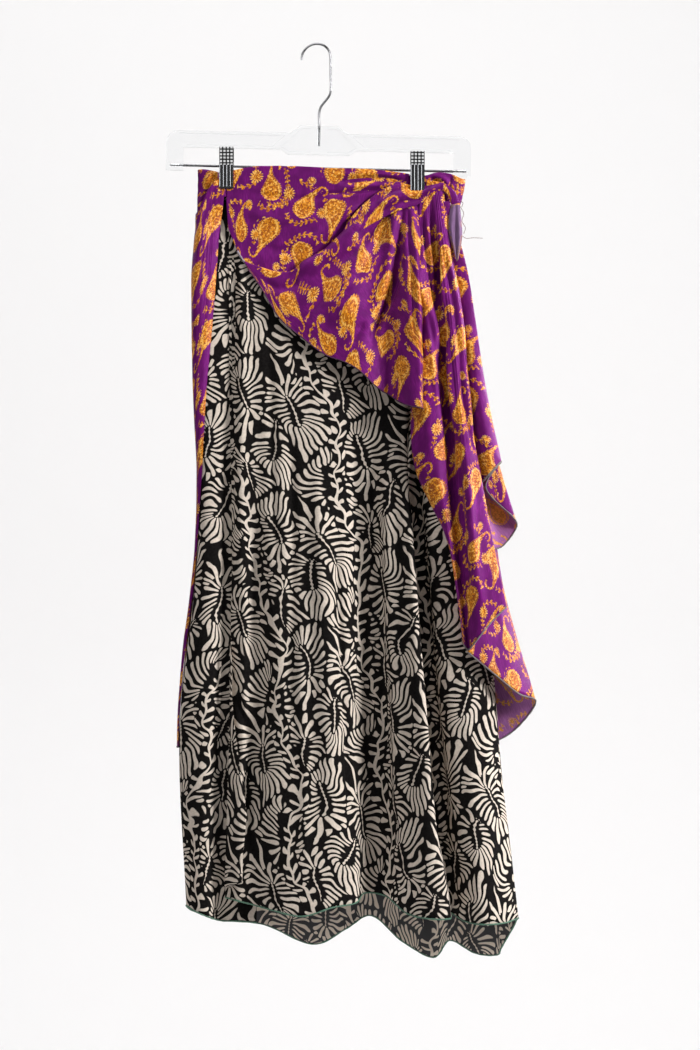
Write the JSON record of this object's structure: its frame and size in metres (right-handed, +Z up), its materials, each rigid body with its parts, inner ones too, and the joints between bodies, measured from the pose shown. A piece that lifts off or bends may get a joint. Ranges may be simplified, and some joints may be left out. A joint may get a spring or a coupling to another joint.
{
  "type": "wrap skirt on a clip hanger",
  "caption": "Long two-layer wrap skirt, a draped short silk layer over a long printed one, clipped flat by its waistband on a clear hanger with a wire hook.",
  "frame": {"origin": "inside top of the hanger hook's crook, where the rail carries it", "axes": "+Z up, the front of the skirt towards -Y, +X to the right as the front is seen"},
  "size_m": [0.4334, 0.1222, 1.0768],
  "materials": {
    "purple_silk": "soft satin",
    "leaf_print": "matt, fine rib",
    "clear_plastic": "clear, moulded",
    "steel": "drawn wire",
    "chrome": "bright plated"
  },
  "bodies": {
    "root": {"hanger_body": "clear_plastic", "hanger_hook": "steel", "hanger_rod": "steel", "clip_left_front": "chrome", "clip_left_back": "chrome", "clip_left_spring": "steel", "clip_right_front": "chrome", "clip_right_back": "chrome", "clip_right_spring": "steel", "waistband_front": "purple_silk", "waistband_back": "purple_silk", "black_front": "leaf_print", "black_front_corner": "leaf_print", "black_back": "leaf_print", "purple_front_upper": "purple_silk", "purple_left_fold": "purple_silk", "purple_back": "purple_silk", "purple_side": "purple_silk", "purple_swag": "purple_silk", "purple_cascade": "purple_silk", "purple_ripple": "purple_silk", "tie_knot": "purple_silk", "tie_loop": "purple_silk", "tie_end": "purple_silk"}
  },
  "joints": []
}
